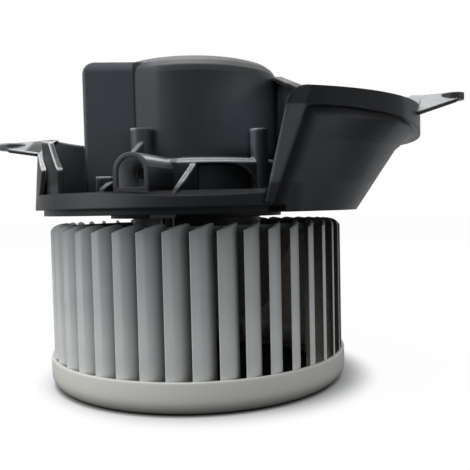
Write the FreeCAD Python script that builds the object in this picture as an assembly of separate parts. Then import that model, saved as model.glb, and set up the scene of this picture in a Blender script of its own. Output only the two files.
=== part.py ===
import FreeCAD, Part
import math
import os

# Cabin blower motor. Millimetres, +Z up, motor above and fan wheel below.
# Origin: on the turning axis, in the plane where the cover sits on the air case.

V = FreeCAD.Vector
UP = V(0, 0, 1)
os.makedirs("parts", exist_ok=True)

# driving sizes of the cover
T = 2.2                    # moulded wall
SPIGOT_R = 76.2            # round neck that enters the case
SPIGOT_L = 2.8
SEAT_W = 5.8               # the seat band lies this far outside the neck
SEAT_X = 2.0               # and a little to the right
STEEP_OUT = 11.3           # the steep wall flares by this much
STEEP_C = (12.3, 12.8)
STEEP_Z = 27.0             # the scoop's steep wall ends here
RIM_OUT = 3.3              # the rim stands outside the steep wall
RIM_C = (21.6, 19.0)
SHELF_Z = 36.0
RIM_Z = 47.8               # top of the rim
BAND_PROUD = 2.2           # the rim band stands out from the wall
BAND_H = 7.0               # floor and low edge of the cover
FRONT_Y = 7.2 - SPIGOT_R   # the floor falls from here to the front
FRONT_FALL = 0.19
LEFT_Z = 36.8              # top of the left and back wall
OUTER_END = 44.2 - SPIGOT_R  # where the left outer wall ends at the front
OPEN_Y = 30.7 - SPIGOT_R   # the wall is open in front of this
SKIRT_X = 36.0             # right of this the wall hangs beside the neck
SEAT_R = SPIGOT_R + SEAT_W
STEEP_R = SEAT_R + STEEP_OUT
RIM_R = STEEP_R + RIM_OUT

# driving sizes of the motor
SHAFT_R = 3.0
CAN_R = 33.0
CAN_T = 1.5
CAN_Z0 = -16.5
CAN_Z1 = 58.0
AIR_GAP = 0.9
MAG_T = 5.2
BEARING_R = 7.2
RUN = 0.05                 # radial play of the shaft in its bearings
CORE_R = CAN_R - CAN_T - MAG_T - AIR_GAP

# driving sizes of the motor cup
ISO_T = 8.1                # rubber between can and cup
CUP_R = CAN_R + ISO_T + T
MOUTH_R = CUP_R - T        # inner wall of the cup
CUP_Z = CAN_Z1 + 11.6
CUP_EDGE = 8.0
DOME = 1.6
DUCT_X = -CUP_R - 7.7
DUCT_Z = CUP_Z - 2.4
DUCT_OPEN_Z = CUP_Z - 17.6  # above this the duct opens into the cup
LEDGE_R = CUP_R + 6.3
LEDGE_Z = 21.7
LIP = 1.6                  # bevel along the ledge

# fixing ears
EAR_T = 1.8
EYE_T = 3.2
EAR_HOLE = 2.9

# driving sizes of the wheel
WHEEL_R = 75.0
RING_Z0 = -86.0
RING_H = 14.7
RING_T = 2.0
RING_EDGE = 6.6            # round of the ring's lower edge
BLADES = 41
BLADE_T = 1.3
BLADE_INSET = 1.3          # outer edge of a blade inside the ring's skin
BLADE_W = 9.3
BLADE_SWEEP = 8.8          # degrees from outer to inner edge
BLADE_PHASE = 4.2          # where the first blade stands
BLADE_BULGE = 3.0          # how far a blade bows outwards from its chord
BLADE_TOP = -6.6
DOME_TOP = BLADE_TOP - 1.4
HUB_END = DOME_TOP - 60.0
BLADE_OUT = WHEEL_R - BLADE_INSET
BLADE_IN = BLADE_OUT - BLADE_W


def save(node, shape):
    """Writes one node."""
    shape.exportStep("parts/" + node + ".step")


def tube(r_out, r_in, z0, z1, c=(0, 0)):
    """A ring standing on the plane z0."""
    outer = Part.makeCylinder(r_out, z1 - z0, V(c[0], c[1], z0))
    if r_in <= 0:
        return outer
    return outer.cut(Part.makeCylinder(r_in, z1 - z0 + 2, V(c[0], c[1], z0 - 1)))


def block(x0, x1, y0, y1, z0, z1):
    """A box between two corners."""
    return Part.makeBox(x1 - x0, y1 - y0, z1 - z0, V(x0, y0, z0))


def turned(points):
    """A closed profile (r, z) turned about the axis."""
    pts = [V(r, 0, z) for r, z in points]
    face = Part.Face(Part.makePolygon(pts + [pts[0]]))
    return face.revolve(V(0, 0, 0), UP, 360)


def front_prism(points, y0, y1):
    """A profile (x, z) drawn from the front and pushed from y0 to y1."""
    pts = [V(x, y0, z) for x, z in points]
    face = Part.Face(Part.makePolygon(pts + [pts[0]]))
    return face.extrude(V(0, y1 - y0, 0))


def side_prism(points, x0, x1):
    """A profile (y, z) drawn from the side and pushed from x0 to x1."""
    pts = [V(x0, y, z) for y, z in points]
    face = Part.Face(Part.makePolygon(pts + [pts[0]]))
    return face.extrude(V(x1 - x0, 0, 0))


def arc_points(cx, cz, r, a0, a1, n):
    """Points of an arc, angles in degrees."""
    out = []
    for i in range(n + 1):
        a = math.radians(a0 + (a1 - a0) * i / n)
        out.append((cx + r * math.cos(a), cz + r * math.sin(a)))
    return out


def turn(shape, deg):
    """The same shape turned about the axis."""
    out = shape.copy()
    out.rotate(V(0, 0, 0), UP, deg)
    return out


def flat_turned(points, n):
    """A closed profile (r, z) turned in n flat steps."""
    rings = []
    for i in range(n):
        a = 2 * math.pi * i / n
        rings.append([V(r * math.cos(a), r * math.sin(a), z) for r, z in points])
    faces = []
    for i in range(n):
        here, there = rings[i], rings[(i + 1) % n]
        for k in range(len(points)):
            m = (k + 1) % len(points)
            faces.append(flat_face([here[k], here[m], there[m], there[k]]))
    return Part.makeSolid(Part.makeShell(faces))


def flat_face(pts):
    return Part.Face(Part.makePolygon(pts + [pts[0]]))


def circle_wire(c, r, z):
    return Part.Wire([Part.Edge(Part.Circle(V(c[0], c[1], z), UP, r))])


def cone_between(c0, r0, z0, c1, r1, z1):
    """Straight skin between two circles whose centres may differ."""
    return Part.makeLoft([circle_wire(c0, r0, z0), circle_wire(c1, r1, z1)], True, True)


def bowl(inset, z0):
    """The leaning bowl: seat circle, steep wall, shelf and upright rim."""
    steep = cone_between((SEAT_X, 0), SEAT_R - inset, z0, STEEP_C, STEEP_R - inset, STEEP_Z)
    shelf = cone_between(STEEP_C, STEEP_R - inset, STEEP_Z, RIM_C, RIM_R - inset, SHELF_Z)
    rim = Part.makeCylinder(RIM_R - inset, RIM_Z - SHELF_Z, V(RIM_C[0], RIM_C[1], SHELF_Z))
    return steep.fuse(shelf).fuse(rim)


def leg_x(z):
    """Left edge of the slanted leg, seen from the front."""
    return 27.2 + 0.24 * z


def scoop_frame():
    """The raised band along the rim and down the slanted leg."""
    ring = tube(RIM_R + BAND_PROUD, RIM_R - T, 1.0, RIM_Z, RIM_C)
    band = front_prism([(-90, 40.6), (62, 40), (92, 38.4), (125, 32.5), (125, RIM_Z), (-90, RIM_Z)],
                       -130, 130)
    inner = arc_points(leg_x(33) + 14.5, 33.0, 7.0, 180, 90, 6)
    leg = front_prism([(leg_x(1), 1), (leg_x(1) + 3, 1)] + inner
                      + [(62, 39.9), (62, RIM_Z), (leg_x(RIM_Z), RIM_Z)], -130, -30)
    return ring.common(band.fuse(leg))


def front_opening():
    """Everything above the low band that is missing at the front."""
    r = 9.0
    cx = leg_x(RIM_Z - r) + r
    corner = arc_points(cx, RIM_Z - r, r, 180, 90, 8)
    pts = [(-130, BAND_H), (leg_x(BAND_H), BAND_H)] + corner + [(cx, 70), (-130, 70)]
    side = block(-130, -30, OPEN_Y - 1, OUTER_END, BAND_H, 80)
    return front_prism(pts, -130, OPEN_Y).fuse(side)


def left_ramp(points):
    """Cut that lets a left wall fall to the front, profile (y, z)."""
    return side_prism(points + [(6, LEFT_Z), (6, 80), (points[0][0], 80)], -130, -30)


def back_cut():
    """The wall is lower at the left and ramps up at the back."""
    return front_prism([(-130, LEFT_Z), (-46, LEFT_Z), (8, RIM_Z), (8, 80), (-130, 80)],
                       OPEN_Y - 0.5, 130)


def floor_z(y):
    """Height of the floor, which falls towards the front."""
    return BAND_H - FRONT_FALL * max(FRONT_Y - y, 0)


def skirt():
    """The steep wall goes on downwards beside the neck at the scoop's side."""
    k = SPIGOT_L / STEEP_Z
    c = (SEAT_X - k * (STEEP_C[0] - SEAT_X), -k * STEEP_C[1])
    low = SEAT_R - k * STEEP_OUT
    outer = cone_between(c, low, -SPIGOT_L, (SEAT_X, 0), SEAT_R, 0)
    inner = Part.makeCylinder(low - T, SPIGOT_L, V(c[0], c[1], -SPIGOT_L))
    return outer.cut(inner).common(block(SKIRT_X, 99, -99, 99, -SPIGOT_L, 0))


def cover_shell():
    """Bowl wall, seat, neck and floor of the cover."""
    wall = bowl(0, 0).cut(bowl(T, -0.01))
    wall = wall.fuse(scoop_frame()).cut(front_opening())
    wall = wall.cut(left_ramp([(OUTER_END, 18.8), (-10, 33.0)]))
    inner_wall = tube(SPIGOT_R - 0.2, SPIGOT_R - T, BAND_H - T, LEFT_Z)
    keep = block(-90, -30, OPEN_Y, 38, -5, 60)
    inner_wall = inner_wall.common(keep).cut(left_ramp([(OPEN_Y, 18.0), (-37, 31.0), (-14, 34.5)]))
    wall = wall.fuse(inner_wall).cut(back_cut())
    inside = bowl(T / 2, -0.01)
    seat = inside.common(block(-99, 99, -99, 99, 0, T)).cut(Part.makeCylinder(SPIGOT_R - T, T))
    front = -1.3 * SPIGOT_R
    slab = side_prism([(99, BAND_H - T), (99, BAND_H), (FRONT_Y, BAND_H), (front, floor_z(front)),
                       (front, floor_z(front) - T), (FRONT_Y, BAND_H - T)], -99, 99)
    floor = inside.common(slab).cut(Part.makeCylinder(MOUTH_R, BAND_H))
    neck = tube(SPIGOT_R, SPIGOT_R - T, -SPIGOT_L, BAND_H - T + 0.5)
    fall = side_prism([(FRONT_Y, BAND_H), (front, floor_z(front)), (front, 2 * BAND_H), (FRONT_Y, 2 * BAND_H)],
                      -99, leg_x(1))
    return wall.fuse([seat, floor, neck, skirt()]).cut(fall)


def cup_outside():
    """Motor cup with rounded edge and slightly raised top."""
    r = CUP_R - CUP_EDGE
    edge = arc_points(r, CUP_Z - CUP_EDGE, CUP_EDGE, 0, 82, 4)
    return turned([(0, BAND_H - T), (CUP_R, BAND_H - T)] + edge
                  + [(0.6 * r, CUP_Z + DOME), (0, CUP_Z + DOME)])


def cup_inside():
    e = CUP_EDGE / 2
    top = CUP_Z - T
    return turned([(0, -10), (MOUTH_R, -10), (MOUTH_R, top - e), (MOUTH_R - e, top), (0, top)])


def duct_profile(d):
    """Cooling duct at the cup's left, drawn from the front."""
    r = 6.0 - min(d, 4)
    corner = arc_points(DUCT_X + d + r, DUCT_Z - d - r, r, 180, 90, 6)
    return corner + [(-10, DUCT_Z - d)]


def duct(d):
    top = duct_profile(d)
    z0 = BAND_H - (T if d == 0 else 0)
    body = front_prism([(DUCT_X + d, z0)] + top + [(-10, z0)], -34 + d, 24 - d)
    return body.makeFillet(2.0 - min(d, 1), upright_edges(body, DUCT_X + d))


def duct_hollow():
    """Air way of the duct: the cup's wall stays up to its window."""
    wall = Part.makeCylinder(CUP_R, DUCT_OPEN_Z, V(0, 0, 0))
    slots = [block(DUCT_X + T + 0.4, DUCT_X + T + 3.8, y, y + 10, 0, BAND_H + 1) for y in (-27, -14, -1, 12)]
    return duct(T).cut(wall).fuse(slots)


def upright_edges(body, x):
    """Upright edges that lie in the plane x."""
    out = []
    for e in body.Edges:
        b = e.BoundBox
        if b.ZLength > 20 and abs(b.XMin - x) < 0.01 and b.XLength < 0.01 and b.YLength < 0.01:
            out.append(e)
    return out


TUNNEL_DEG = math.degrees(math.atan2(-70.0, -26.5))


def tunnel_prism(r, z_axis, z_foot, x0, x1, shrink=0.0):
    """An arch along a radius: half round on straight sides."""
    arch = arc_points(0, z_axis, r, 180, 0, 12)
    pts = [V(x0, y, z) for y, z in [(-r, z_foot)] + arch + [(r, z_foot)]]
    face = Part.Face(Part.makePolygon(pts + [pts[0]]))
    return turn(face.extrude(V(x1 - x0, 0, 0)), TUNNEL_DEG)


def boss(deg, out, r, z1):
    """A round boss on the cup's foot."""
    return Part.makeCylinder(r, z1 - BAND_H + 1, on_circle((0, 0), CUP_R + out, deg, BAND_H - 1))


def radial_rib(deg, x0, z_in, x1, z_out, t=T):
    """An upright rib along a radius with a sloping top."""
    pts = [(x0, BAND_H - 1), (x1, BAND_H - 1), (x1, z_out), (x0, z_in)]
    face = Part.Face(Part.makePolygon([V(x, -t / 2, z) for x, z in pts + [pts[0]]]))
    return turn(face.extrude(V(0, t, 0)), deg)


def bar(p, q, z_low, t):
    """An upright wall from p to q whose top runs from p.z to q.z."""
    d = V(q.x - p.x, q.y - p.y, 0)
    n = V(-d.y, d.x, 0).normalize().multiply(t / 2)
    a = V(p.x, p.y, z_low).sub(n)
    b = V(q.x, q.y, z_low).sub(n)
    c = V(q.x, q.y, q.z).sub(n)
    e = V(p.x, p.y, p.z).sub(n)
    face = Part.Face(Part.makePolygon([a, b, c, e, a]))
    return face.extrude(n.multiply(2))


def ear(reach, width, nose, skew, tilt, rise, deg, place):
    """A fixing ear: leaning flat tongue that ends in a level eyelet."""
    half = width / 2
    nose_c = reach - nose
    low = math.degrees(math.atan2(half - nose + skew, nose_c))
    high = math.degrees(math.atan2(half - nose - skew, nose_c))
    arc = arc_points(nose_c, skew, nose, -90 + low, 90 - high, 6)
    pts = [V(x, y, -EAR_T / 2) for x, y in [(-9, -half), (0, -half)] + arc + [(0, half), (-9, half)]]
    body = Part.Face(Part.makePolygon(pts + [pts[0]])).extrude(V(0, 0, EAR_T))
    turns = FreeCAD.Rotation(UP, deg) * FreeCAD.Rotation(V(1, 0, 0), tilt) * FreeCAD.Rotation(V(0, 1, 0), -rise)
    body.Placement = FreeCAD.Placement(place, turns)
    eye = turns.multVec(V(nose_c, skew, 0)).add(place)
    low = V(eye.x, eye.y, eye.z - EYE_T / 2)
    body = body.cut(Part.makeCylinder(nose, 4 * EYE_T, V(eye.x, eye.y, eye.z - 2 * EYE_T)))
    body = body.fuse(Part.makeCylinder(nose, EYE_T, low))
    return body.cut(Part.makeCylinder(EAR_HOLE, EYE_T, low))


def on_circle(centre, r, deg, z):
    """Point on a circle of the cover."""
    a = math.radians(deg)
    return V(centre[0] + r * math.cos(a), centre[1] + r * math.sin(a), z)


def ear_foot():
    """Upstand of the rim that carries the right ear."""
    ring = tube(RIM_R + BAND_PROUD, RIM_R - T, RIM_Z - 1, 62, RIM_C)
    slab = side_prism([(-33.5, 30), (-33.5, 44.5), (-8.6, 55.2), (-6, 47), (-6, 30)], RIM_C[0] + 50, 130)
    return ring.common(slab)


def housing():
    """The black cover: shell, cup, duct, tunnel, bosses, ribs and ears."""
    shell = cover_shell()
    hollow = cup_inside()
    step = turned([(CUP_R - 1, BAND_H - 1), (LEDGE_R, BAND_H - 1), (LEDGE_R, LEDGE_Z - LIP),
                   (LEDGE_R - LIP, LEDGE_Z), (CUP_R - 1, LEDGE_Z)])
    step = step.common(block(-20, 60, -60, 60, 0, 30))
    pocket = front_prism([(0.6, 7.5), (0.6, LEDGE_Z - 2.5)]
                         + arc_points(14.5, LEDGE_Z - 15.8, 13.3, 90, 8, 6) + [(27.8, 7.5)], -60, -30)
    pocket = pocket.cut(Part.makeCylinder(CUP_R + 0.6, 40))
    step = step.cut(pocket)
    foot = [boss(238.1, 2.9, 4.7, 36.0), boss(308.4, 4.4, 4.1, 35.4)]
    tunnel = tunnel_prism(8.0, 15.0, BAND_H - 1, CUP_R + 0.7, SPIGOT_R - 1.7)
    rib_a = bar(V(-22.8, -40, 31.5), V(-27.3, -53, 24.0), 20, T)
    rib_b = bar(on_circle((0, 0), SPIGOT_R - 5.6, 239.7, 11.5),
                on_circle((0, 0), SPIGOT_R + 1.6, 240.3, 8.2), 5, T)
    post = on_circle((0, 0), SPIGOT_R - 3.2, 236.3, BAND_H - 1)
    tab = block(post.x - 1, post.x + 5.5, post.y - 1.2, post.y + 1.2, 12.0, 13.6)
    tab_post = block(post.x - 1, post.x + 1, post.y - 1.2, post.y + 1.2, post.z, 13.6)
    slope = bar(V(0.3, -45, 21.2), V(-9.3, -76.5, 5.6), 4.6, T)
    web = bar(V(42.0, -10, 65.0), V(44.5, -73.5, RIM_Z - 1.2), 5, T)
    cap = bar(V(42.0, -12, 64.6), V(45.5, -73.5, RIM_Z - 1.2), 40, 4.6)
    under = bar(V(42.0, -12, 62.2), V(45.5, -73.5, RIM_Z - 3.6), 39, 5.0)
    outside = block(20, 80, -110, -50, 0, RIM_Z).cut(bowl(T / 2, -0.01))
    web = web.fuse(cap.cut(under)).cut(outside)
    room = bowl(T / 2, -0.01)
    ribs = [radial_rib(d, LEDGE_R - 2, 20, 112, 11).common(room) for d in (12, 42, 72, 102, 132)]
    body = shell.fuse([cup_outside(), duct(0), step, tunnel, rib_a, rib_b, tab, tab_post, slope, web]
                      + foot + ribs)
    ears = [ear(22.5, 27.0, 6.5, -2.5, -19.6, 0, 180, on_circle(STEEP_C, STEEP_R - 2.6, 188.1, 32.0)),
            ear(28.5, 27.0, 5.5, 5.0, 24.0, 7.0, 0, on_circle(RIM_C, RIM_R - 2.05, 335.3, 48.0)),
            ear(21.0, 27.0, 8.0, 0, 0, 0, 110, on_circle(RIM_C, RIM_R - 4.5, 104.9, 39.6))]
    ears = [e.cut(bowl(T, -0.01)) for e in ears] + [ear_foot()]
    body = body.fuse(ears)
    body = body.cut([hollow, duct_hollow()])
    socket = tunnel_prism(6.0, 15.0, 8.6, SPIGOT_R - 22.2, SPIGOT_R + 4)
    body = body.cut(socket)
    return body


def blade_top(r):
    """Height of a blade's top at radius r: it rounds off to the outside."""
    corner = 5.0
    edge = BLADE_OUT + 0.4
    knee = edge - corner
    if r <= knee:
        return BLADE_TOP - 2.4 * max(r - BLADE_IN, 0) / (knee - BLADE_IN)
    inside = max(corner ** 2 - (r - knee) ** 2, 0)
    return BLADE_TOP - 2.4 - corner + math.sqrt(inside)


def make_blade():
    """One bowed blade with flat facets, outer edge first."""
    a = math.radians(BLADE_SWEEP)
    p = V(BLADE_OUT, 0, 0)
    q = V(BLADE_IN * math.cos(a), BLADE_IN * math.sin(a), 0)
    d = q.sub(p)
    n = V(d.y, -d.x, 0).normalize()
    front = []
    back = []
    for t in (0, 0.06, 0.18, 0.36, 0.64, 1):
        base = p.add(V(d.x, d.y, 0).multiply(t))
        bow = 4 * t * (1 - t)
        front.append(base.add(V(n.x, n.y, 0).multiply(bow * BLADE_BULGE)))
        back.append(base.add(V(n.x, n.y, 0).multiply(bow * (BLADE_BULGE - BLADE_T + 0.45) - 0.45)))
    loop = back + front[::-1]
    foot = RING_Z0 + 4.6
    low = [V(v.x, v.y, foot) for v in loop]
    high = [V(v.x, v.y, blade_top(math.hypot(v.x, v.y))) for v in loop]
    faces = [flat_face(low)]
    for i in range(len(loop)):
        k = (i + 1) % len(loop)
        faces.append(flat_face([low[i], low[k], high[k], high[i]]))
    last = len(loop) - 1
    for i in range(len(front) - 1):
        k = last - i
        faces.append(flat_face([high[i], high[i + 1], high[k]]))
        faces.append(flat_face([high[i + 1], high[k - 1], high[k]]))
    return Part.makeSolid(Part.makeShell(faces))


def fan_wheel():
    """Ring, blades, dome and hub in one grey moulding."""
    blade = make_blade()
    blades = [turn(blade, 360.0 * i / BLADES + BLADE_PHASE) for i in range(BLADES)]
    r = WHEEL_R
    z = RING_Z0
    e = RING_EDGE
    bottom = arc_points(r - e, z + e, e, -90, 0, 4)
    ring = turned(bottom + [(r, z + RING_H), (r - RING_T, z + RING_H), (r - RING_T, z + e / 2),
                          (r - e, z + RING_T)])
    top = DOME_TOP
    can = CAN_R
    hub = SHAFT_R + 6.0
    edge = BLADE_IN + 1.6
    dome = flat_turned([(edge, top), (edge, top - 2.0), (can + 16, top - 12), (can + 8.5, top - 27),
                        (can + 5, top - 40), (can - 3, top - 46), (hub, top - 48), (hub, HUB_END), (2, HUB_END),
                        (2, top - 38), (hub - 1, top - 38), (hub - 0.6, top - 45.4), (can - 4, top - 43.6),
                        (can + 3, top - 38.4), (can + 6.3, top - 26.4), (can + 14, top - 10.8), (edge - 6, top)], 60)
    bore = Part.makeCylinder(SHAFT_R, 40, V(0, 0, HUB_END - 1))
    ribs = []
    for i in range(6):
        rib = block(hub - 2, can, -0.8, 0.8, top - 47, top - 41.5)
        ribs.append(turn(rib, 60 * i))
    return ring.fuse(blades + [dome] + ribs).cut(bore)


def motor_can():
    r = CAN_R
    i = r - CAN_T
    top = CAN_Z1
    b = BEARING_R
    e = 4.0
    can = turned([(r, CAN_Z0), (r, top - e), (r - e, top), (b + 2.3, top), (b + 2.3, top + 5),
                  (b, top + 5), (b, top - CAN_T), (i - 2.5, top - CAN_T), (i, top - e), (i, CAN_Z0)])
    return can.cut(turn(block(CAN_R / 2, CAN_R + 1, -6, 6, CAN_Z0 - 1, CAN_Z0 + 8), TUNNEL_DEG))


def end_plate():
    z = CAN_Z0
    b = BEARING_R
    return turned([(CAN_R, z - 1.5), (CAN_R, z), (b, z), (b, z - 7.5), (b + 2, z - 7.5), (b + 2, z - 1.5)])


def magnet(deg):
    r = CAN_R - CAN_T
    ring = tube(r, r - MAG_T, 4, 46)
    wedge = Part.makeCylinder(2 * CAN_R, 60, V(0, 0, -5), UP, 116)
    piece = ring.common(turn(wedge, -58))
    return turn(piece, deg)


CORE_Z = (8.0, 42.0)
SLOTS = 12
SLOT_IN = 0.5 * CORE_R
SLOT_W = 2.3
COM_R = SHAFT_R + 7.5


def armature_core():
    """Laminated core with slots for the winding."""
    core = tube(CORE_R, SHAFT_R, CORE_Z[0], CORE_Z[1])
    cuts = []
    for i in range(SLOTS):
        mouth = block(CORE_R - 4, CORE_R + 1, -1.0, 1.0, 0, 60)
        slot = block(SLOT_IN, CORE_R - 2.2, -SLOT_W, SLOT_W, 0, 60)
        cuts.append(turn(mouth.fuse(slot), 360 * i / SLOTS))
    return core.cut(cuts)


def windings():
    """Copper in the slots and the two end turns."""
    low, high = CORE_Z
    hub = SHAFT_R + 4
    r = CORE_R - 2.6
    ends = [flat_turned([(hub, high), (r, high), (r - 1, high + 6), (r - 5.4, high + 9), (hub + 2, high + 8)], 24),
            flat_turned([(hub, low), (COM_R + 2, low - 8.6), (r - 4.4, low - 8.8), (r - 0.8, low - 6), (r, low)], 24)]
    bars = []
    for i in range(SLOTS):
        bars.append(turn(block(SLOT_IN + 0.2, r + 0.2, -SLOT_W + 0.2, SLOT_W - 0.2, low - 0.5, high + 0.5),
                         360 * i / SLOTS))
    return ends[0].fuse(ends[1:] + bars)


def commutator():
    body = tube(COM_R, SHAFT_R, -13.5, -2.2)
    riser = tube(COM_R + 1.7, SHAFT_R, -3.4, -0.8)
    cuts = []
    for i in range(SLOTS):
        cuts.append(turn(block(COM_R - 0.9, COM_R + 2.5, -0.25, 0.25, -14, 0), 360 * (i + 0.5) / SLOTS))
    return body.fuse(riser).cut(cuts)


CARD_Z = CAN_Z0
CARD_T = 2.0
BRUSH_Z = CARD_Z + CARD_T
BRUSH_DEG = (TUNNEL_DEG + 90, TUNNEL_DEG - 90)
GUIDE_END = CAN_R - CAN_T - 3.9
BRUSH_END = GUIDE_END - 7.1


def brush_card():
    """Plate with two brush guides and terminal feet."""
    card = tube(CAN_R - CAN_T, SHAFT_R + 10, CARD_Z, CARD_Z + CARD_T)
    parts = []
    for deg in BRUSH_DEG:
        guide = block(COM_R + 3, GUIDE_END + 1.4, -4.6, 4.6, BRUSH_Z - 0.5, BRUSH_Z + 8.2)
        guide = guide.cut(block(COM_R - 1, GUIDE_END, -3.1, 3.1, BRUSH_Z, BRUSH_Z + 7.0))
        parts.append(turn(guide, deg))
    return card.fuse(parts)


def brush(deg):
    body = block(COM_R - 1.5, BRUSH_END, -3.05, 3.05, BRUSH_Z, BRUSH_Z + 6.9)
    body = body.cut(Part.makeCylinder(COM_R + 0.2, 30, V(0, 0, -25)))
    return turn(body, deg)


def brush_spring(deg):
    """Square-wire coil between the brush and the back of its guide."""
    r = 2.2
    w = 0.4
    turns = 3.5
    n = 8
    steps = int(turns * n)
    rise = GUIDE_END - BRUSH_END - 2 * w
    rings = []
    for i in range(steps + 1):
        a = 2 * math.pi * i / n
        x = BRUSH_END + w + rise * i / steps
        ring = []
        for dr, dx in ((w, -w), (w, w), (-w, w), (-w, -w)):
            ring.append(V(x + dx, (r + dr) * math.cos(a), BRUSH_Z + 3.4 + (r + dr) * math.sin(a)))
        rings.append(ring)
    faces = [flat_face(rings[0]), flat_face(rings[-1])]
    for here, there in zip(rings, rings[1:]):
        for k in range(4):
            m = (k + 1) % 4
            faces.append(flat_face([here[k], here[m], there[m]]))
            faces.append(flat_face([here[k], there[m], there[k]]))
    return turn(Part.makeSolid(Part.makeShell(faces)), deg)


def side_rod(r, x, y0, y1, z, n=12):
    """A rod with n flats lying along y."""
    step = 2 * math.pi / n
    pts = [V(x + r * math.cos(step * i), y0, z + r * math.sin(step * i)) for i in range(n)]
    return flat_face(pts).extrude(V(0, y1 - y0, 0))


def choke(deg):
    """Interference choke lying on the card."""
    z = BRUSH_Z + 2.3
    x = CAN_R - 12
    core = side_rod(1.4, x, -6.5, 6.5, z)
    coil = side_rod(2.3, x, -4.5, 4.5, z)
    return turn(core.fuse(coil), deg)


def terminal(side):
    """Contact blade from the socket to the brush card."""
    y0 = side * 3.0 - 0.4
    y1 = side * 3.0 + 0.4
    end = SPIGOT_R - 15
    x = CAN_R + 2
    blade = block(x, end, y0, y1, 12.6, 17.4)
    nose = block(end - 1, end + 1.5, y0, y1, 13.6, 16.4)
    drop = block(x, x + 3.2, y0, y1, BRUSH_Z, 17.4)
    foot = block(x - 8.5, x + 3.2, y0, y1, BRUSH_Z, BRUSH_Z + 3.0)
    return turn(blade.fuse([nose, drop, foot]), TUNNEL_DEG)


def isolator(z0, z1):
    """Rubber ring with outer beads between can and cup."""
    n = 5
    ring = tube(MOUTH_R - 1.2, CAN_R, z0, z1)
    pads = []
    for i in range(n):
        pad = tube(MOUTH_R, MOUTH_R - 1.8, z0, z1)
        wedge = Part.makeCylinder(2 * CUP_R, 100, V(0, 0, -30), UP, 30)
        pads.append(pad.common(turn(wedge, 360 * i / n + TUNNEL_DEG + 21)))
    return ring.fuse(pads)


RET_R = CUP_R + 0.7
RET_IN = MOUTH_R - 2.1
SCREW_R = CUP_R + 4.2
SCREW_DEG = (75, 238, 314)


def retaining_ring():
    """Ring under the cup's mouth with three screw lugs."""
    z1 = BAND_H - T
    ring = tube(RET_R, RET_IN, -4.8, z1)
    ring = ring.fuse(tube(MOUTH_R - 0.3, RET_IN, z1 - 1, 8.0))
    lugs = []
    holes = []
    for d in SCREW_DEG:
        lug = Part.makeCylinder(4.2, 3.0, V(SCREW_R, 0, z1 - 3.0)).fuse(
            block(RET_R - 2, SCREW_R, -4.2, 4.2, z1 - 3.0, z1))
        lugs.append(turn(lug, d))
        holes.append(turn(Part.makeCylinder(1.6, 20, V(SCREW_R, 0, -5)), d))
    return ring.fuse(lugs).cut(holes)


def screws():
    """Three equal screws of the retaining ring."""
    out = []
    z = BAND_H - T - 3.0
    for d in SCREW_DEG:
        head = Part.makeCylinder(3.2, 2.0, V(SCREW_R, 0, z - 2.0))
        head = head.cut(block(SCREW_R - 4, SCREW_R + 4, -0.5, 0.5, z - 3, z - 1.1))
        head = head.cut(block(SCREW_R - 0.5, SCREW_R + 0.5, -4, 4, z - 3, z - 1.1))
        stem = Part.makeCylinder(1.6, 10.5, V(SCREW_R, 0, z - 0.1))
        out.append(turn(head.fuse(stem), d))
    return Part.makeCompound(out)


def screw_bosses():
    out = []
    for d in SCREW_DEG:
        out.append(turn(Part.makeCylinder(3.8, 9.0, V(SCREW_R, 0, BAND_H - T)), d))
    return out


def screw_pilots():
    out = []
    for d in SCREW_DEG:
        out.append(turn(Part.makeCylinder(1.6, 8.0, V(SCREW_R, 0, BAND_H - T - 0.5)), d))
    return out


def sleeve_bearing(z0, z1):
    return tube(BEARING_R, SHAFT_R + RUN, z0, z1)


def bearing_retainer():
    """Flat ring that keeps the lower bearing in its seat."""
    return tube(SHAFT_R + 9.8, SHAFT_R + 1.2, CAN_Z0, CAN_Z0 + 0.8)


def thrust_washer(z0, z1):
    return tube(5.6, SHAFT_R, z0, z1)


def wheel_clip():
    z = HUB_END
    ring = tube(2 * SHAFT_R, SHAFT_R, z - 0.8, z)
    return ring.cut(block(0, 10, -1.0, 1.0, z - 2, z + 2))


def shaft():
    z0 = HUB_END - 3
    z1 = CAN_Z1 + 4.4
    return tube(SHAFT_R, 0, z0, z1)


def main():
    cover = housing().fuse(screw_bosses()).cut(screw_pilots())
    plus = terminal(1)
    minus = terminal(-1)
    cover = cover.cut([plus, minus])
    mouth = turn(block(CAN_R - 3, CUP_R, -5, 5, -20, 18.5), TUNNEL_DEG)
    save("housing", cover)
    save("retaining_ring", retaining_ring())
    save("retaining_screws", screws())
    save("upper_isolator", isolator(CAN_Z1 - 20, CAN_Z1 - 8))
    save("lower_isolator", isolator(8, 18.4).cut(mouth))
    save("motor_can", motor_can())
    save("motor_end_plate", end_plate())
    save("magnet_1", magnet(TUNNEL_DEG + 90))
    save("magnet_2", magnet(TUNNEL_DEG - 90))
    save("armature_core", armature_core())
    save("armature_windings", windings())
    save("commutator", commutator())
    save("brush_card", brush_card())
    save("brush_1", brush(BRUSH_DEG[0]))
    save("brush_2", brush(BRUSH_DEG[1]))
    save("brush_spring_1", brush_spring(BRUSH_DEG[0]))
    save("brush_spring_2", brush_spring(BRUSH_DEG[1]))
    save("choke_1", choke(TUNNEL_DEG + 135))
    save("choke_2", choke(TUNNEL_DEG - 135))
    save("terminal_plus", plus)
    save("terminal_minus", minus)
    save("lower_bearing", sleeve_bearing(CAN_Z0 - 7.2, CAN_Z0))
    save("upper_bearing", sleeve_bearing(CAN_Z1 - 1.4, CAN_Z1 + 4.6))
    save("bearing_retainer", bearing_retainer())
    save("thrust_washer_low", thrust_washer(CAN_Z0 + 1.6, CAN_Z0 + 3.0))
    save("thrust_washer_top", thrust_washer(CAN_Z1 - 3, CAN_Z1 - 1.6))
    save("shaft", shaft())
    save("fan_wheel", fan_wheel())
    save("wheel_clip", wheel_clip())


main()
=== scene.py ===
import math

import bmesh
import bpy
from mathutils import Matrix, Vector


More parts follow.
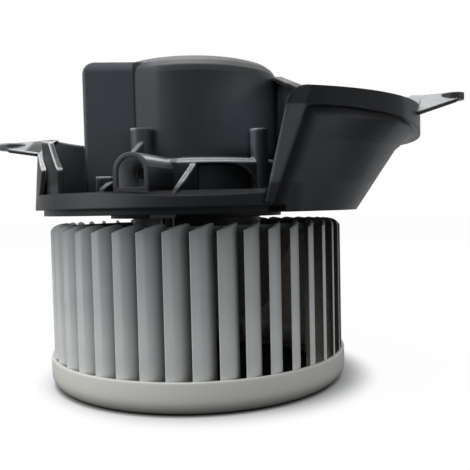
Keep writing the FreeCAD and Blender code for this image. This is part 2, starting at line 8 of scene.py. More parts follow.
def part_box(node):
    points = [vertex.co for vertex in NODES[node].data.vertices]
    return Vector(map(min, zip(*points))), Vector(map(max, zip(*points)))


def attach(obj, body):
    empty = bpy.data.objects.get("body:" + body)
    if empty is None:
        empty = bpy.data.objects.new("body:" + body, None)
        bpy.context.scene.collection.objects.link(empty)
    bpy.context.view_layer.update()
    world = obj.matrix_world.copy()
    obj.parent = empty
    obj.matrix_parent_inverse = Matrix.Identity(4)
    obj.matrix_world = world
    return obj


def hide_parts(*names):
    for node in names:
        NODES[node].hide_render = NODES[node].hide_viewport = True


bl_info = {
    "name": "Cabin Blower Builder",
    "version": (1, 0, 0),
    "blender": (4, 5, 0),
    "location": "3D View > Sidebar > Blower",
    "description": "Finishes a car cabin blower: moulded cover, motor, drum wheel and studio stage",
    "category": "Object",
}

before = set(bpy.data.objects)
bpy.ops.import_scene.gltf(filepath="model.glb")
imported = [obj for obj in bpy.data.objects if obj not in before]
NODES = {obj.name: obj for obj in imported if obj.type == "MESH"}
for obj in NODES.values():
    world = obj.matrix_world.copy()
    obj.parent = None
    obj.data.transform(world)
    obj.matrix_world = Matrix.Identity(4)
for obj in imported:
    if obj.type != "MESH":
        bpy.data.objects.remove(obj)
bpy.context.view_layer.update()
MM = 0.001
SMOOTH_DEG = 35

# Where things stand, read from the frame
FLOOR_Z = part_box("fan_wheel")[0].z
RING_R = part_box("fan_wheel")[1].x
CAN_LOW, CAN_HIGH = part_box("motor_can")

# Sizes of the wheel in millimetres, as in the part's source
WHEEL_R = RING_R / MM
WHEEL_LOW = FLOOR_Z / MM
RING_H = 14.7
RING_ROUND = 6.6       # of its lower edge
BLADES = 41
RIBS = 6
BLADE_OUT = 73.7
BLADE_IN = 64.4
BLADE_T = 1.3          # thickness in the middle
BLADE_TIP = 0.4        # thickness at its edges
BLADE_SWEEP = 8.8      # degrees from the outer to the inner edge
BLADE_PHASE = 4.2      # degrees, the first blade
BLADE_BULGE = 3.0
BLADE_FOOT = WHEEL_LOW + 4.6
BLADE_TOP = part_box("fan_wheel")[1].z / MM
DOME_TOP = BLADE_TOP - 1.4
HUB_END = DOME_TOP - 60.0
SHAFT_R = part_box("shaft")[1].x / MM
PRESS = 0.02           # the bore stands this far off the shaft

# Sizes of the motor and the cover in millimetres
CAN_R = CAN_HIGH.x / MM
CUP_R = CAN_R + 8.1 + 2.2  # past the rubber and the wall
DUCT_Z = CAN_HIGH.z / MM + 4.2
TUNNEL_DEG = math.degrees(math.atan2(-70.0, -26.5))
TUNNEL_IN = 6.0        # half width of its socket
TUNNEL_TOP = 21.0
TUNNEL_END = 74.5
GUIDE_END = CAN_R - 5.4
BRUSH_END = GUIDE_END - 7.1
CARD_TOP = CAN_LOW.z / MM + 2.0
SPRING_Z = CARD_TOP + 3.4
CHOKE_R = CAN_R - 12
CHOKE_Z = CARD_TOP + 2.3
SCREW_R = CAN_R + 14.5
SCREW_DEG = (75, 238, 314)
SCREW_HEAD = 2.0       # height of the head
PLATE_Z = 7            # the cover's inner floor
MARKS = ((-46, -26, DUCT_Z), (-46, 16, DUCT_Z), (-60, 24, PLATE_Z), (58, 30, PLATE_Z), (30, 58, PLATE_Z),
         (-20, 64, PLATE_Z), (60, -24, PLATE_Z))

# Lamps: name, place, aim, width in metres and the setting with its strength
LAMPS = (("key_lamp", (-1.02, -0.38, 0.38), (0, 0, -0.02), 0.8, "key"),
         ("front_lamp", (0.55, -0.62, 0.70), (0, 0, 0.02), 0.7, "front"),
         ("top_lamp", (-0.05, 0.02, 0.95), (0, 0, 0), 0.6, "top"),
         ("side_lamp", (0.90, -0.40, 0.06), (0, 0, 0.02), 0.6, "side"))


# Shader maths

class Sock:
    """One shader value or colour, so that a pattern reads as an expression."""

    def __init__(self, paint, socket):
        self.paint = paint
        self.socket = socket

    def _math(self, operation, other=None, swap=False):
        first, second = (other, self) if swap else (self, other)
        values = {0: first} if second is None else {0: first, 1: second}
        return self.paint.node("ShaderNodeMath", {"operation": operation}, values)

    def __add__(self, other):
        return self._math("ADD", other)

    __radd__ = __add__

    def __mul__(self, other):
        return self._math("MULTIPLY", other)

    __rmul__ = __mul__

    def __sub__(self, other):
        return self._math("SUBTRACT", other)

    def __rsub__(self, other):
        return self._math("SUBTRACT", other, swap=True)

    def __truediv__(self, other):
        return self._math("DIVIDE", other)

    def __abs__(self):
        return self._math("ABSOLUTE")

    def at_least(self, other):
        """The larger of the two."""
        return self._math("MAXIMUM", other)

    def at_most(self, other):
        """The smaller of the two."""
        return self._math("MINIMUM", other)

    def sine(self):
        return self._math("SINE")

    def root(self):
        return self._math("SQRT")

    def ramp(self, low, high, start=0.0, end=1.0):
        """Smooth step from start to end while the value runs from low to high."""
        return self.paint.node("ShaderNodeMapRange", {"interpolation_type": "SMOOTHSTEP"},
                               {0: self, 1: low, 2: high, 3: start, 4: end})

    def past(self, low, high, start=0.0, end=1.0):
        """The same step for a place: it begins at low and is full at high, in millimetres."""
        return self.ramp(low * MM, high * MM, start, end)


class Paint:
    """Builds the nodes of one procedural material, or of the world."""

    def __init__(self, owner, output="ShaderNodeOutputMaterial"):
        owner.use_nodes = True
        self.owner = owner
        self.tree = owner.node_tree
        self.tree.nodes.clear()
        self.output = self.tree.nodes.new(output)

    def node(self, kind, settings=None, inputs=None, out=0):
        """Adds a node, sets or links its inputs and gives one of its outputs."""
        made = self.tree.nodes.new(kind)
        for key, value in (settings or {}).items():
            setattr(made, key, value)
        for key, value in (inputs or {}).items():
            if isinstance(value, Sock):
                self.tree.links.new(value.socket, made.inputs[key])
            else:
                made.inputs[key].default_value = value
        return Sock(self, made.outputs[out])

    def place(self, scale=(1.0, 1.0, 1.0)):
        """Place on the piece, stretched along its axes."""
        spot = self.node("ShaderNodeTexCoord", out="Object")
        return self.node("ShaderNodeMapping", {}, {"Vector": spot, "Scale": scale})

    def split(self, vector):
        """The three parts of a vector."""
        made = self.tree.nodes.new("ShaderNodeSeparateXYZ")
        self.tree.links.new(vector.socket, made.inputs[0])
        return [Sock(self, made.outputs[i]) for i in range(3)]

    def axes(self):
        """Place on the piece along X, Y and Z."""
        return self.split(self.node("ShaderNodeTexCoord", out="Object"))

    def noise(self, size, detail=3.0, rough=0.55, stretch=(1.0, 1.0, 1.0)):
        """Cloudy noise whose blobs are about size metres."""
        return self.node("ShaderNodeTexNoise", {},
                         {"Vector": self.place(stretch), "Scale": 1.0 / size, "Detail": detail,
                          "Roughness": rough})

    def cells(self, size, kind="F1"):
        """Cells about size metres wide."""
        return self.node("ShaderNodeTexVoronoi", {"feature": kind},
                         {"Vector": self.place(), "Scale": 1.0 / size})

    def facing(self, axis, radius=None):
        """How much the surface looks along an axis, from -1 to 1; a radius eases it over the edges."""
        looks = self.soft_edge(radius) if radius else self.node("ShaderNodeNewGeometry", out="Normal")
        return self.split(looks)[axis]

    def blend(self, mask, first, second):
        """Colour that runs from first to second with mask."""
        values = {"Factor": mask, "A": first, "B": second}
        made = self.tree.nodes.new("ShaderNodeMix")
        made.data_type = "RGBA"
        for key, value in values.items():
            target = [s for s in made.inputs if s.name == key and (key == "Factor" or s.type == "RGBA")][0]
            if isinstance(value, Sock):
                self.tree.links.new(value.socket, target)
            else:
                target.default_value = value
        return Sock(self, [s for s in made.outputs if s.type == "RGBA"][0])

    def bump(self, height, strength, distance, base=None):
        """Relief on top of the base normal."""
        values = {"Height": height, "Strength": strength, "Distance": distance}
        if base is not None:
            values["Normal"] = base
        return self.node("ShaderNodeBump", {}, values)

    def soft_edge(self, radius):
        """Rounds the light on sharp edges."""
        return self.node("ShaderNodeBevel", {"samples": 6}, {"Radius": radius})

    def surface(self, **values):
        """Closes the material with a Principled shader, its inputs named with underscores."""
        shader = self.node("ShaderNodeBsdfPrincipled", {},
                           {key.replace("_", " "): value for key, value in values.items()})
        return self.close(shader)

    def close(self, shader):
        """Ends the nodes in this shader."""
        self.tree.links.new(shader.socket, self.output.inputs[0])
        return self.owner


def new_paint(name):
    """Starts a new material."""
    return Paint(bpy.data.materials.new(name))


def rgb(red, green, blue):
    """Colour from 0 to 255 screen values, made linear."""
    def linear(value):
        value /= 255.0
        return value / 12.92 if value <= 0.04045 else ((value + 0.055) / 1.055) ** 2.4
    return (linear(red), linear(green), linear(blue), 1.0)


RIGHT, UP = 0, 2
DUST_AND_TOP_LIGHT = rgb(150, 149, 145)
# Near-black of the painted shade
SHADE_BLACK = rgb(9, 10, 12)


def shade(tint, factor):
    """A colour made darker or lighter."""
    return tuple(value * factor for value in tint[:3]) + (1.0,)


# Finishes

def moulded_black(tint):
    """Satin black polypropylene: fine grain, flow clouds, a grey dusting with painted top light on what looks
    up, painted highlights on upper edges, painted shade and painted light in set places.
    """
    paint = new_paint("moulded_black")
    flow = paint.noise(28 * MM, 4.0, 0.6, (1.0, 1.0, 0.5))
    grain = paint.noise(0.35 * MM, 2.0, 0.5)
    pits = paint.cells(0.8 * MM)
    scuffs = paint.noise(3.0 * MM, 6.0, 0.7, (0.25, 1.0, 1.6)).ramp(0.66, 0.8)
    colour = paint.blend(flow.ramp(0.3, 0.7), shade(tint, 0.8), shade(tint, 1.25))
    upward = paint.facing(UP, 1.3 * MM)
    # Dust on what looks up, made strong enough to stand for the top light too: part dust, part painted
    # highlight
    dust_and_top_light = upward.ramp(0.08, 0.65) * paint.noise(9 * MM, 5.0, 0.65).ramp(0.15, 0.7, 0.55, 1.0)
    blotches = paint.noise(6 * MM, 3.0, 0.6).ramp(0.1, 0.6, 0.6, 1.0)
    # worn: painted highlight along upward edges, where the rounded normal parts from the flat one
    worn = abs(paint.facing(UP, 2.6 * MM) - paint.facing(UP)).ramp(0.05, 0.25)
    worn = worn * upward.ramp(-0.1, 0.3) * (0.6 + grain * 0.6)
    here = CoverPlaces(paint, upward)
    dust_and_top_light = dust_and_top_light * here.height.past(8, 12, 0.2, 1.0) * (1.0 - here.scoop * 0.9)
    # Painted shade in the rim band, in the groove beside the leg and under the band, and on the sill
    rim_and_sill_shade = here.rim.at_least(here.sill)
    # Painted shade on the low band at the left front, the walls at the left and the slot between them
    shaded_places = (here.base * 0.6).at_least(here.left * 0.7).at_least(here.slot)
    edges = here.low_edges.at_least(here.cup * 0.15)
    coats = (
        # dust with painted top light on what looks up
        (dust_and_top_light * 0.31, DUST_AND_TOP_LIGHT),
        # painted shade in the rim band, the groove and on the sill
        (rim_and_sill_shade * 0.85, SHADE_BLACK),
        # painted highlight on the leg at the front
        (here.leg * 0.22, rgb(120, 124, 130)),
        # painted highlight in blotches on the tops of the ears
        (here.ears * upward.ramp(0.4, 0.8) * blotches * 0.36, rgb(206, 208, 210)),
        # painted light on the cup's right side and on the duct block, in clouds
        (here.lit_cup_and_duct * flow.ramp(0.2, 0.8, 0.8, 1.0), rgb(76, 80, 87)),
        # painted highlight along the duct block's top edge
        (here.duct_top * 0.85, rgb(116, 121, 128)),
        # painted highlight on the upper edges of the low walls and the cup
        (worn * edges, rgb(198, 202, 206)),
        # painted shade in those places and in the tunnel's mouth
        (shaded_places.at_least(here.mouth * 0.4), SHADE_BLACK),
        # painted shade on the cup's left cheek and on the hem at the scoop's lower right
        (here.cheek.at_least(here.hem) * 0.7, rgb(12, 13, 15)),
        # painted light on the cup's right side
        (here.cup_right * 0.5, rgb(114, 119, 127)),
        # painted highlight on the lip under the rim at the right
        (here.flank * 0.6, rgb(112, 114, 116)),
        # near-white painted highlight on the upper edges of the ramps at the left
        (worn * here.left * here.above_band, rgb(236, 238, 240)),
        # painted light inside the tunnel's socket
        (here.socket, rgb(176, 179, 184)),
        (scuffs * 0.06, rgb(120, 122, 124)),
    )
    for mask, tone in coats:
        colour = paint.blend(mask, colour, tone)
    # the painted shade on the cheek and the hem counts here too
    shaded_places = shaded_places.at_least(here.cheek * 0.8).at_least(here.hem * 0.6)
    # Metallic on the painted shade and the rim takes their sheen off, which darkens them further
    metal = rim_and_sill_shade.at_least(shaded_places * 0.7).at_least(here.slot * 1.3) * 0.7
    rough = 0.42 + grain * 0.12 + dust_and_top_light * 0.18 - scuffs * 0.05
    normal = paint.bump(grain + pits * 0.5, 0.14, 0.10 * MM, paint.soft_edge(1.0 * MM))
    return paint.surface(Base_Color=colour, Roughness=rough, Metallic=metal, Normal=normal,
                         Specular_IOR_Level=0.42)


class CoverPlaces:
    """Masks from 0 to 1 of the places where painted light, painted highlights and painted shade lie on the
    cover.

    Lengths are millimetres on the cover: side to the right, back away from the front, height up.
    """

    def __init__(self, paint, upward):
        side, back, height = paint.axes()
        cosine = math.cos(math.radians(TUNNEL_DEG))
        sine = math.sin(math.radians(TUNNEL_DEG))
        reach = (side * side + back * back).root()
        along = side * cosine + back * sine
        across = abs(back * cosine - side * sine)
        front = back.past(-44, -50)
        upright = upward.ramp(0.85, 0.5)
        self.height = height
        self.above_band = height.past(9, 12)
        # The ears' tops get a painted highlight
        self.ears = side.past(-83, -86).at_least(side.past(104, 110))
        self.scoop = front * height.past(43, 45) * side.past(20, 30)

        # The leg leans to the right as it rises, and the rim's lower edge falls off to the right
        lean = side - height * 0.38
        under = height + side.at_least(70 * MM) * 0.13
        # Painted shade: the rim band, whose lower edge falls off to the right, and the groove right of the
        # leg and under the band
        rim = under.past(48.6, 49.8) * front * side.past(40, 75, 0.8, 1.0)
        groove = lean.past(29.4, 30.6) * lean.past(38.5, 32).at_least(under.past(44, 47.5))
        self.rim = (groove * under.past(49.8, 48.6) * front).at_least(rim)
        # The leg gets a painted highlight
        self.leg = lean.past(20, 24) * lean.past(30, 28) * height.past(3, 14) * front * (1.0 - rim * 0.7)
        # Painted shade on the hem at the scoop's lower right
        self.hem = front * side.past(54, 76) * height.past(42, 36) * height.past(9.5, 11)
        # Painted highlight on the right-facing lip under the rim
        self.flank = (paint.facing(RIGHT).ramp(0.4, 0.8) * side.past(60, 70) * height.past(42, 50)
                      * front * (1.0 - rim))

        # The band below and the walls at the left
        # Painted shade on the top of the low sill at the front
        self.sill = height.past(8.5, 7.5) * upward.ramp(0.3, 0.7) * front
        # Painted shade: the low band's front at the left, the walls at the left and the slot between them
        self.base = front * height.past(9.5, 8.5) * side.past(45, 40) * upward.ramp(0.5, 0.2)
        self.left = side.past(-57, -60) * side.past(-85, -83) * back.past(10, 0)
        self.slot = self.left * paint.facing(RIGHT).ramp(-0.1, -0.4) * side.past(-80, -77) * self.above_band

        # The motor cup and the duct block beside it
        lower = height.past(64, 40)
        duct = side.past(-14, -18) * side.past(-60, -56) * height.past(10, 16)
        duct = duct * reach.past(80, 76) * back.past(12, -26) * upright
        # Painted highlight along the duct block's top edge
        self.duct_top = duct * height.past(DUCT_Z - 5, DUCT_Z - 0.5)
        self.cup = reach.past(50, 46) * height.past(22, 30) * upright
        # Painted light on the cup's right side
        self.cup_right = self.cup * side.past(8, 30) * lower
        # Painted light on the cup's right side and on the duct block
        self.lit_cup_and_duct = (self.cup * side.past(-4, 28, 0.06, 1.0) * lower).at_least(duct * 0.52)
        # Painted shade on the cup's left cheek, which takes off a highlight there
        self.cheek = self.cup * side.past(-10, -24) * reach.past(CUP_R + 0.8, CUP_R + 0.3)

        # The cable tunnel
        outside = along.past(CAN_R, CAN_R + 2)
        # Painted shade in the tunnel's mouth
        self.mouth = along.past(TUNNEL_END - 1.2, TUNNEL_END - 0.8) * across.past(9, 8.5) * height.past(9, 10)
        # Painted light inside the socket at the tunnel's end
        self.socket = (along.past(TUNNEL_END - 1.0, TUNNEL_END - 1.6) * outside
                       * across.past(TUNNEL_IN + 0.5, TUNNEL_IN) * height.past(TUNNEL_TOP + 0.5, TUNNEL_TOP))
        self.low_edges = (self.above_band * height.past(50, 46) * side.past(34, 26)
                          * (1.0 - across.past(10, 9) * outside * 0.8))


def moulded_grey(tint):
    """Pale grey plastic of the wheel: faint flow marks, painted shade towards the top, painted light lower
    down, painted shade at the ring's foot, brownish soiling with painted shade on what looks inwards.
    """
    paint = new_paint("moulded_grey")
    x, y, z = paint.axes()
    radius = (x * x + y * y).root()
    normal_x, normal_y, _ = paint.split(paint.node("ShaderNodeTexCoord", out="Normal"))
    outward = (normal_x * x + normal_y * y) / radius.at_least(1 * MM)
    cloud = paint.noise(24 * MM, 4.0, 0.6)
    specks = paint.noise(2.0 * MM, 4.0, 0.7)
    grain = paint.noise(0.3 * MM, 2.0, 0.5)
    inner = outward.ramp(0.15, -0.35).at_least(radius.past(64, 60))
    below_ring = z.past(WHEEL_LOW + 16, WHEEL_LOW + 13)
    # Brownish soiling and painted shade on what faces inwards and inside the blades
    grime_and_shade = inner * (1.0 - below_ring * 0.25) * (0.75 + cloud * 0.5).at_most(1.0)
    # Painted shade towards the top of the wheel, under the cover, bluish
    top_shade = z.past(-76, -62) * 0.3 + z.past(-40, -6) * 0.7 + z.past(-16, -5) * 0.3
    top_shade = top_shade * (0.6 + cloud * 0.5)
    grime_and_shade_tone = paint.blend(specks.ramp(0.35, 0.7), rgb(92, 88, 80), rgb(122, 115, 101))
    colour = paint.blend(cloud.ramp(0.3, 0.7), shade(tint, 0.93), shade(tint, 1.05))
    coats = (
        # painted light: lighter lower down
        (z.past(-36, -62) * 0.7, rgb(236, 238, 234)),
        (below_ring * 0.9, rgb(200, 199, 191)),
        # painted shade at the ring's foot, darker towards the bottom
        (z.past(WHEEL_LOW + 9, WHEEL_LOW) * 0.7, rgb(120, 116, 106)),
        # painted shade towards the top
        (top_shade * 0.64, rgb(80, 86, 91)),
        # soiling and painted shade on what faces inwards
        (grime_and_shade * 0.92, grime_and_shade_tone),
    )
    for mask, tone in coats:
        colour = paint.blend(mask, colour, tone)
    rough = 0.42 + cloud * 0.1 + grime_and_shade * 0.3
    normal = paint.bump(grain + specks * 0.3, 0.10, 0.08 * MM, paint.soft_edge(0.35 * MM))
    return paint.surface(Base_Color=colour, Roughness=rough, Normal=normal, Specular_IOR_Level=0.45)


def drawn_steel():
    """Dark sheet with draw marks round the can, kept this dark as painted shade for the gap under the cover.
    """
    paint = new_paint("drawn_steel")
    spangle = paint.cells(5 * MM, "SMOOTH_F1")
    drawn = paint.noise(0.7 * MM, 3.0, 0.6, (0.1, 0.1, 1.0))
    stain = paint.noise(14 * MM, 5.0, 0.65).ramp(0.52, 0.75)
    colour = paint.blend(spangle.ramp(0.2, 0.8), rgb(38, 39, 41), rgb(54, 55, 57))
    colour = paint.blend(stain * 0.35, colour, rgb(92, 84, 70))
    normal = paint.bump(drawn, 0.12, 0.08 * MM, paint.soft_edge(0.4 * MM))
    return paint.surface(Base_Color=colour, Metallic=0.8, Roughness=0.34 + drawn * 0.18 + stain * 0.2,
                         Normal=normal)


def ground_steel():
    """Ground shaft: fine rings, oil film near the bearings."""
    paint = new_paint("ground_steel")
    rings = paint.noise(0.25 * MM, 2.0, 0.6, (0.05, 0.05, 1.0))
    oil = paint.noise(6 * MM, 4.0, 0.6).ramp(0.5, 0.7)
    colour = paint.blend(oil * 0.4, rgb(198, 198, 196), rgb(142, 132, 112))
    normal = paint.bump(rings, 0.1, 0.04 * MM, paint.soft_edge(0.2 * MM))
    return paint.surface(Base_Color=colour, Metallic=1.0, Roughness=0.18 + rings * 0.16, Normal=normal)


def spring_wire():
    """Bright drawn wire and spring sheet."""
    paint = new_paint("spring_wire")
    marks = paint.noise(0.5 * MM, 4.0, 0.7)
    colour = paint.blend(marks.ramp(0.35, 0.7), rgb(150, 152, 156), rgb(205, 206, 208))
    normal = paint.bump(marks, 0.1, 0.04 * MM)
    return paint.surface(Base_Color=colour, Metallic=1.0, Roughness=0.24 + marks * 0.2, Normal=normal)


def zinc_screw():
    """Yellowish zinc on a screw, duller in patches."""
    paint = new_paint("zinc_screw")
    patch = paint.noise(1.4 * MM, 4.0, 0.6)
    colour = paint.blend(patch.ramp(0.35, 0.7), rgb(196, 186, 150), rgb(206, 206, 200))
    normal = paint.bump(patch, 0.12, 0.06 * MM, paint.soft_edge(0.2 * MM))
    return paint.surface(Base_Color=colour, Metallic=1.0, Roughness=0.28 + patch * 0.22, Normal=normal)


def laminations():
    """Edges of stacked steel sheets, half a millimetre each, with a thin brown varnish."""
    paint = new_paint("laminations")
    height = paint.axes()[2]
    sheet = ((height * (2 * math.pi / (0.5 * MM))).sine() * 0.5 + 0.5).ramp(0.2, 0.9)
    varnish = paint.noise(5 * MM, 4.0, 0.6).ramp(0.4, 0.7)
    colour = paint.blend(sheet, rgb(66, 66, 70), rgb(150, 150, 152))
    colour = paint.blend(varnish * 0.5, colour, rgb(104, 76, 48))
    normal = paint.bump(sheet, 0.4, 0.08 * MM)
    return paint.surface(Base_Color=colour, Metallic=0.9, Roughness=0.38 + varnish * 0.2, Normal=normal)


def enamelled_copper():
    """Wound wire: rows of turns under clear enamel."""
    paint = new_paint("enamelled_copper")
    x, y, z = paint.axes()
    rows = ((x + y * 0.35 + z * 0.6) * (2 * math.pi / (0.8 * MM))).sine() * 0.5 + 0.5
    tone = paint.noise(4 * MM, 3.0, 0.6)
    colour = paint.blend(tone.ramp(0.3, 0.7), rgb(150, 72, 38), rgb(196, 104, 56))
    # Painted shade in the creases between the turns
    colour = paint.blend(rows.ramp(0.0, 0.35, 1.0, 0.0) * 0.6, colour, rgb(60, 26, 14))
    normal = paint.bump(rows, 0.5, 0.18 * MM)
    return paint.surface(Base_Color=colour, Metallic=0.85, Roughness=0.26 + tone * 0.12,
                         Coat_Weight=0.5, Normal=normal)


def copper_bars():
    """Commutator with the brown running band of the brushes."""
    paint = new_paint("copper_bars")
    height = paint.axes()[2]
    lines = paint.noise(0.3 * MM, 3.0, 0.6, (0.05, 0.05, 1.0))
    low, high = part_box("brush_1")
    band = height.ramp(low.z, low.z + 1 * MM) * height.ramp(high.z, high.z - 1 * MM)
    colour = paint.blend(lines.ramp(0.3, 0.7), rgb(186, 104, 64), rgb(214, 136, 92))
    colour = paint.blend(band * 0.6, colour, rgb(84, 52, 38))
    normal = paint.bump(lines, 0.2, 0.05 * MM, paint.soft_edge(0.2 * MM))
    return paint.surface(Base_Color=colour, Metallic=1.0, Roughness=0.24 + band * 0.16, Normal=normal)


def tinned_brass():
    """Rolled terminal brass, its tin worn off in places."""
    paint = new_paint("tinned_brass")
    rolled = paint.noise(0.5 * MM, 3.0, 0.6, (1.0, 1.0, 0.08))
    worn = paint.noise(2.5 * MM, 4.0, 0.6).ramp(0.52, 0.68)
    colour = paint.blend(worn, rgb(104, 102, 96), rgb(112, 96, 62))
    normal = paint.bump(rolled, 0.12, 0.05 * MM, paint.soft_edge(0.15 * MM))
    return paint.surface(Base_Color=colour, Metallic=1.0, Roughness=0.24 + rolled * 0.18, Normal=normal)


def sintered_bronze():
    """Porous oiled bronze."""
    paint = new_paint("sintered_bronze")
    pores = paint.cells(0.35 * MM)
    tone = paint.noise(2.5 * MM, 4.0, 0.6)
    colour = paint.blend(tone.ramp(0.3, 0.7), rgb(138, 104, 58), rgb(178, 140, 84))
    colour = paint.blend(pores.ramp(0.25, 0.1), colour, rgb(58, 42, 26))
    normal = paint.bump(pores, 0.3, 0.08 * MM)
    return paint.surface(Base_Color=colour, Metallic=0.9, Roughness=0.42 + tone * 0.15, Normal=normal)


def soft_rubber():
    """Black rubber with a pale bloom."""
    paint = new_paint("soft_rubber")
    skin = paint.noise(0.6 * MM, 4.0, 0.6)
    bloom = paint.noise(8 * MM, 5.0, 0.6).ramp(0.5, 0.72)
    colour = paint.blend(bloom * 0.4, rgb(30, 30, 31), rgb(82, 84, 86))
    normal = paint.bump(skin, 0.2, 0.1 * MM, paint.soft_edge(0.4 * MM))
    return paint.surface(Base_Color=colour, Roughness=0.66 + skin * 0.18, Normal=normal,
                         Specular_IOR_Level=0.3)


def ground_ferrite():
    """Dark ferrite with small chips."""
    paint = new_paint("ground_ferrite")
    grain = paint.noise(0.25 * MM, 3.0, 0.6)
    chips = paint.cells(1.8 * MM).ramp(0.14, 0.05)
    colour = paint.blend(grain.ramp(0.3, 0.7), rgb(50, 50, 54), rgb(74, 74, 78))
    colour = paint.blend(chips, colour, rgb(98, 98, 102))
    normal = paint.bump(grain - chips * 0.6, 0.2, 0.08 * MM, paint.soft_edge(0.3 * MM))
    return paint.surface(Base_Color=colour, Roughness=0.46 + grain * 0.15, Metallic=0.2, Normal=normal)


def pressed_carbon():
    """Brush carbon with glints of copper."""
    paint = new_paint("pressed_carbon")
    grain = paint.noise(0.2 * MM, 4.0, 0.65)
    glint = paint.cells(0.5 * MM).ramp(0.16, 0.06)
    colour = paint.blend(grain.ramp(0.3, 0.7), rgb(34, 33, 33), rgb(58, 56, 55))
    colour = paint.blend(glint * 0.7, colour, rgb(128, 84, 60))
    normal = paint.bump(grain, 0.2, 0.05 * MM)
    return paint.surface(Base_Color=colour, Roughness=0.44 + grain * 0.15, Metallic=0.35, Normal=normal)


def card_brown():
    """Glass-filled card that carries the brushes."""
    paint = new_paint("card_brown")
    fibres = paint.noise(0.5 * MM, 4.0, 0.7, (0.2, 1.0, 1.0))
    soot = paint.noise(7 * MM, 4.0, 0.6).ramp(0.48, 0.72)
    colour = paint.blend(fibres.ramp(0.3, 0.7), rgb(92, 78, 60), rgb(116, 100, 78))
    colour = paint.blend(soot * 0.5, colour, rgb(36, 32, 28))
    normal = paint.bump(fibres, 0.2, 0.08 * MM, paint.soft_edge(0.3 * MM))
    return paint.surface(Base_Color=colour, Roughness=0.5 + fibres * 0.15, Normal=normal)


def washer_white():
    """Milky nylon."""
    paint = new_paint("washer_white")
    milk = paint.noise(2.5 * MM, 3.0, 0.6)
    colour = paint.blend(milk.ramp(0.3, 0.7), rgb(214, 208, 190), rgb(232, 228, 214))
    normal = paint.bump(milk, 0.1, 0.05 * MM, paint.soft_edge(0.2 * MM))
    return paint.surface(Base_Color=colour, Roughness=0.38 + milk * 0.12, Normal=normal)


# Modelling helpers

def clear_selection():
    """Nothing is active or selected, so that the next tool acts on its own piece alone."""
    if bpy.context.mode != "OBJECT":
        bpy.ops.object.mode_set(mode="OBJECT")
    bpy.ops.object.select_all(action="DESELECT")


def dress(node, material):
    """A CAD node keeps its shape and takes a finish."""
    piece = NODES[node]
    piece.data.materials.clear()
    piece.data.materials.append(material)


def activate(*pieces):
    """Selects these pieces alone; the first one is active."""
    clear_selection()
    for piece in pieces:
        piece.select_set(True)
    bpy.context.view_layer.objects.active = pieces[0]


def edit(piece):
    """Opens one piece in edit mode with all of it selected."""
    activate(piece)
    bpy.ops.object.mode_set(mode="EDIT")
    bpy.ops.mesh.select_all(action="SELECT")


def settle():
    """Puts place, turn and size of the selected piece into its mesh."""
    bpy.ops.object.transform_apply(location=True, rotation=True, scale=True)


def named(name):
    """The piece that a tool just added, settled."""
    piece = bpy.context.active_object
    piece.name = name
    settle()
    return piece


def remove(piece):
    """Deletes one piece."""
    activate(piece)
    bpy.ops.object.delete()


def copy_of(piece):
    """A copy with its own mesh, which is then the active piece."""
    activate(piece)
    bpy.ops.object.duplicate(linked=False)
    return bpy.context.active_object


def close_mesh(merge=None):
    """Joins points closer than merge, turns the faces outwards and leaves edit mode."""
    bpy.ops.mesh.select_all(action="SELECT")
    if merge is not None:
        bpy.ops.mesh.remove_doubles(threshold=merge * MM)
    bpy.ops.mesh.normals_make_consistent(inside=False)
    bpy.ops.object.mode_set(mode="OBJECT")


def modify(piece, kind, **settings):
    """Adds a modifier with these settings and applies it."""
    activate(piece)
    bpy.ops.object.modifier_add(type=kind)
    made = piece.modifiers[-1]
    for key, value in settings.items():
        setattr(made, key, value)
    bpy.ops.object.modifier_apply(modifier=made.name)


def block(name, centre, size, turn=0.0):
    """A box in millimetres, turned about its own upright axis."""
    clear_selection()
    bpy.ops.mesh.primitive_cube_add(size=1, location=[value * MM for value in centre],
                                    rotation=(0, 0, turn), scale=[value * MM for value in size])
    return named(name)


def cylinder(name, radius, low, high, vertices=48):
    """An upright cylinder on the turning axis, in millimetres."""
    clear_selection()
    bpy.ops.mesh.primitive_cylinder_add(vertices=vertices, radius=radius * MM, depth=(high - low) * MM,
                                        location=(0, 0, (low + high) / 2 * MM))
    return named(name)


def trace(name, points):
    """A chain drawn from point to point, in millimetres."""
    clear_selection()
    bpy.ops.mesh.primitive_plane_add(size=MM, location=Vector(points[0]) * MM)
    piece = named(name)
    edit(piece)
    bpy.ops.mesh.merge(type="CENTER")
    for here, there in zip(points, points[1:]):
        step = (Vector(there) - Vector(here)) * MM
        bpy.ops.mesh.extrude_vertices_move(TRANSFORM_OT_translate={"value": step})
    bpy.ops.mesh.select_all(action="SELECT")
    return piece


def spun(name, profile, steps):
    """A closed profile (r, z) in millimetres, spun about the turning axis."""
    piece = trace(name, [(r, 0, z) for r, z in profile + profile[:1]])
    bpy.ops.mesh.remove_doubles(threshold=0.001 * MM)
    bpy.ops.mesh.spin(steps=steps, angle=2 * math.pi, center=(0, 0, 0), axis=(0, 0, 1))
    close_mesh(0.001)
    return piece


def bevel(piece, width, segments=2, degrees=40):
    """Rounds the edges that are sharper than this angle."""
    modify(piece, "BEVEL", width=width * MM, segments=segments, angle_limit=math.radians(degrees))


def copies_round(piece, count):
    """Copies about the turning axis, each with its own mesh, joined with the first."""
    made = [piece]
    for i in range(1, count):
        made.append(copy_of(piece))
        bpy.ops.transform.rotate(value=2 * math.pi * i / count, orient_axis="Z", center_override=(0, 0, 0))
    return join(made)


def join(pieces):
    """Makes the pieces one, which is the first."""
    activate(*pieces)
    bpy.ops.object.join()
    settle()
    return pieces[0]


